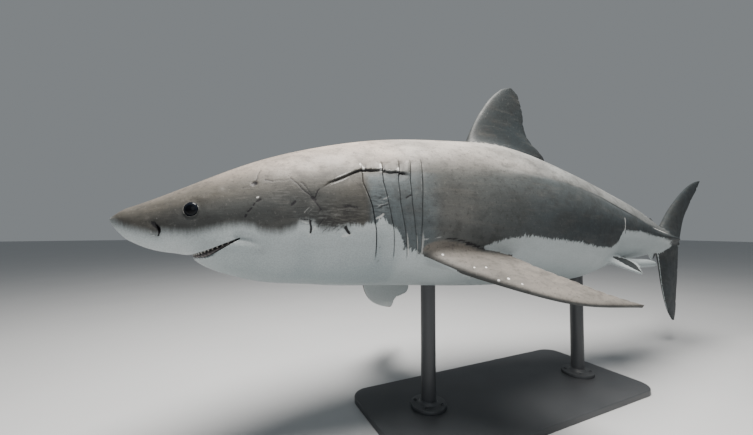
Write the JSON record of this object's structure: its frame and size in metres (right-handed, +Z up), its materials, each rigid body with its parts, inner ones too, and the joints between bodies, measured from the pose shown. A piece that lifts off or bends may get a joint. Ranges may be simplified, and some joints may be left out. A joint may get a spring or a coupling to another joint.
{
  "type": "great white shark display model",
  "caption": "Life-size great white shark, a still museum-style model with a gently bent body and spread fins, held over a flat base by short rods.",
  "frame": {"origin": "centre of the underside of the stand's base, on the floor", "axes": "+X from the snout to the tail, -Y the shark's left side, +Z up"},
  "size_m": [4.1015, 1.4486, 1.6431],
  "materials": {
    "skin_grey": "satin",
    "skin_white": "satin",
    "eye": "gloss",
    "stand": "satin"
  },
  "bodies": {
    "root": {"head": "skin_grey", "lower_jaw": "skin_white", "gill_region": "skin_grey", "trunk": "skin_grey", "tail_stem": "skin_grey", "caudal_fin_upper_lobe": "skin_grey", "caudal_fin_lower_lobe": "skin_grey", "dorsal_fin_first": "skin_grey", "dorsal_fin_second": "skin_grey", "anal_fin": "skin_white", "pectoral_fin_left": "skin_grey", "pectoral_fin_right": "skin_grey", "pelvic_fin_left": "skin_grey", "pelvic_fin_right": "skin_grey", "clasper_left": "skin_white", "clasper_right": "skin_white", "eye_left": "eye", "eye_right": "eye", "stand_base": "stand", "stand_rod_front": "stand", "stand_rod_rear": "stand", "stand_flange_front": "stand", "stand_flange_rear": "stand"}
  },
  "joints": []
}
